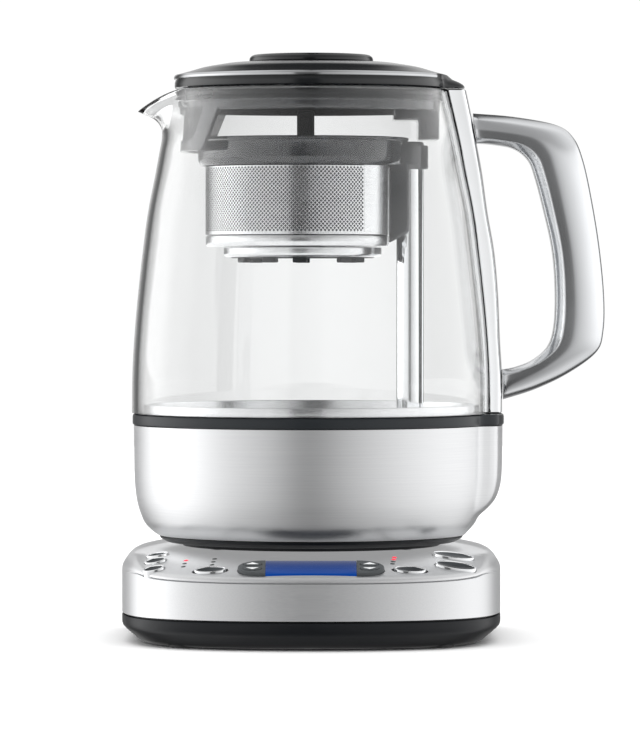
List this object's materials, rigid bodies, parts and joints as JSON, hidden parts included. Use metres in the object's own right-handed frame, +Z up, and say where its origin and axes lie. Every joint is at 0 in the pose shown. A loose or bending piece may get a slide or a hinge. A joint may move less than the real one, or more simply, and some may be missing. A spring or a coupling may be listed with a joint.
{
  "type": "automatic tea maker",
  "caption": "Glass jug with a steel lower body, lid and cast handle, a tea basket that rides down a post inside it, and a power base with a sloping key panel.",
  "frame": {"origin": "on the table, under the middle of the bounding box of the base and the handle together", "axes": "+Z up, the control panel faces -Y, the handle points along +X and the spout along -X"},
  "size_m": [0.2159, 0.182, 0.2617],
  "materials": {
    "brushed_steel": "fine brushing round the jug and across the base",
    "polished_metal": "polished",
    "cast_metal": "satin cast metal",
    "black_plastic": "satin moulded black",
    "grey_plastic": "satin moulded dark grey",
    "rubber": "matt",
    "silicone": "translucent matt",
    "glass": "clear blown glass",
    "display": "backlit blue screen",
    "lamp_lens": "diffusing lens",
    "board": "coated circuit board",
    "nylon": "natural nylon",
    "brass": "machined"
  },
  "bodies": {
    "power_base": {"base_tray": "black_plastic", "foot_1": "rubber", "foot_2": "rubber", "foot_3": "rubber", "foot_4": "rubber", "base_cover": "brushed_steel", "power_hub": "black_plastic", "display_pod": "black_plastic", "display_screen": "display", "control_board": "board", "lamp_bar_left": "lamp_lens", "lamp_bar_middle": "lamp_lens", "lamp_bar_right": "lamp_lens", "power_module": "black_plastic", "cord_gland": "rubber"},
    "jug": {"jug_underside": "black_plastic", "power_socket": "black_plastic", "jug_shell": "brushed_steel", "collar_ring": "grey_plastic", "vessel_floor": "brushed_steel", "heating_ring": "cast_metal", "heat_spreader": "cast_metal", "heat_sensor": "brass", "glass_jug": "glass", "handle_spine": "polished_metal", "handle": "cast_metal", "lift_post": "polished_metal", "post_cap": "grey_plastic", "lift_motor": "cast_metal", "drive_bracket": "black_plastic"},
    "screw": {"lift_screw": "polished_metal", "screw_gear": "nylon"},
    "pinion": {"motor_pinion": "brass"},
    "shuttle": {"lift_shuttle": "cast_metal"},
    "basket": {"basket_carriage": "grey_plastic", "basket_drum": "brushed_steel", "basket_band": "brushed_steel", "basket_cup": "brushed_steel", "basket_clip_ring": "grey_plastic", "basket_magnet_front": "cast_metal", "basket_magnet_back": "cast_metal"},
    "tea_lid": {"tea_lid": "grey_plastic", "tea_lid_stem": "black_plastic"},
    "lid": {"lid_cap": "black_plastic", "lid_band": "polished_metal", "lid_knob": "black_plastic", "lid_skirt": "grey_plastic", "lid_seal": "silicone", "spout_filter": "brushed_steel"},
    "key_start_auto": {"key_start_auto": "polished_metal"},
    "key_keep_warm": {"key_keep_warm": "polished_metal"},
    "key_hot_water": {"key_hot_water": "polished_metal"},
    "key_tea_type": {"key_tea_type": "polished_metal"},
    "key_strength": {"key_strength": "polished_metal"},
    "key_basket": {"key_basket": "polished_metal"},
    "key_start": {"key_start": "polished_metal"},
    "key_time_up": {"key_time_up": "grey_plastic"},
    "key_time_down": {"key_time_down": "grey_plastic"},
    "key_heat_up": {"key_heat_up": "grey_plastic"},
    "key_heat_down": {"key_heat_down": "grey_plastic"}
  },
  "joints": [
    {"name": "key_start_auto_press", "type": "slide", "parent": "power_base", "child": "key_start_auto", "axis": [0.1818, 0.1761, -0.9674], "range_m": [0, 0.0008], "stiffness_N_per_m": 400},
    {"name": "key_keep_warm_press", "type": "slide", "parent": "power_base", "child": "key_keep_warm", "axis": [0.2402, 0.2918, -0.9258], "range_m": [0, 0.0008], "stiffness_N_per_m": 400},
    {"name": "key_hot_water_press", "type": "slide", "parent": "power_base", "child": "key_hot_water", "axis": [0.2459, 0.2915, -0.9244], "range_m": [0, 0.0008], "stiffness_N_per_m": 400},
    {"name": "key_tea_type_press", "type": "slide", "parent": "power_base", "child": "key_tea_type", "axis": [0.09, 0.2995, -0.9498], "range_m": [0, 0.0008], "stiffness_N_per_m": 400},
    {"name": "key_strength_press", "type": "slide", "parent": "power_base", "child": "key_strength", "axis": [-0.0877, 0.2995, -0.95], "range_m": [0, 0.0008], "stiffness_N_per_m": 400},
    {"name": "key_basket_press", "type": "slide", "parent": "power_base", "child": "key_basket", "axis": [-0.1639, 0.2199, -0.9617], "range_m": [0, 0.0008], "stiffness_N_per_m": 400},
    {"name": "key_start_press", "type": "slide", "parent": "power_base", "child": "key_start", "axis": [-0.1975, 0.2948, -0.9349], "range_m": [0, 0.0008], "stiffness_N_per_m": 400},
    {"name": "key_time_up_press", "type": "slide", "parent": "power_base", "child": "key_time_up", "axis": [0, 0.3007, -0.9537], "range_m": [0, 0.0008], "stiffness_N_per_m": 400},
    {"name": "key_time_down_press", "type": "slide", "parent": "power_base", "child": "key_time_down", "axis": [0, 0.3007, -0.9537], "range_m": [0, 0.0008], "stiffness_N_per_m": 400},
    {"name": "key_heat_up_press", "type": "slide", "parent": "power_base", "child": "key_heat_up", "axis": [0, 0.3007, -0.9537], "range_m": [0, 0.0008], "stiffness_N_per_m": 400},
    {"name": "key_heat_down_press", "type": "slide", "parent": "power_base", "child": "key_heat_down", "axis": [0, 0.3007, -0.9537], "range_m": [0, 0.0008], "stiffness_N_per_m": 400},
    {"name": "jug_lift", "type": "slide", "parent": "power_base", "child": "jug", "axis": [0, 0, 1], "range_m": [0, 0.08]},
    {"name": "lid_lift", "type": "slide", "parent": "jug", "child": "lid", "axis": [0, 0, 1], "range_m": [0, 0.06]},
    {"name": "basket_slide", "type": "slide", "parent": "jug", "child": "basket", "axis": [0, 0, 1], "range_m": [-0.06, 0]},
    {"name": "tea_lid_lift", "type": "slide", "parent": "basket", "child": "tea_lid", "axis": [0, 0, 1], "range_m": [0, 0.009]},
    {"name": "screw_spin", "type": "hinge", "parent": "jug", "child": "screw", "pos_m": [0.02085, -0.004, 0.082], "axis": [0, 0, 1], "range_deg": [-1810, 10]},
    {"name": "pinion_spin", "type": "hinge", "parent": "jug", "child": "pinion", "pos_m": [-0.00165, -0.004, 0.082], "axis": [0, 0, 1], "range_deg": [-30, 4710]},
    {"name": "shuttle_slide", "type": "slide", "parent": "jug", "child": "shuttle", "axis": [0, 0, 1], "range_m": [-0.0605, 0.0002]}
  ],
  "couplings": [
    {"joint": "screw_spin", "follows": "basket_slide", "rad_per_m": 523.6},
    {"joint": "pinion_spin", "follows": "basket_slide", "rad_per_m": -1361.4},
    {"joint": "shuttle_slide", "follows": "basket_slide", "ratio": 1}
  ]
}
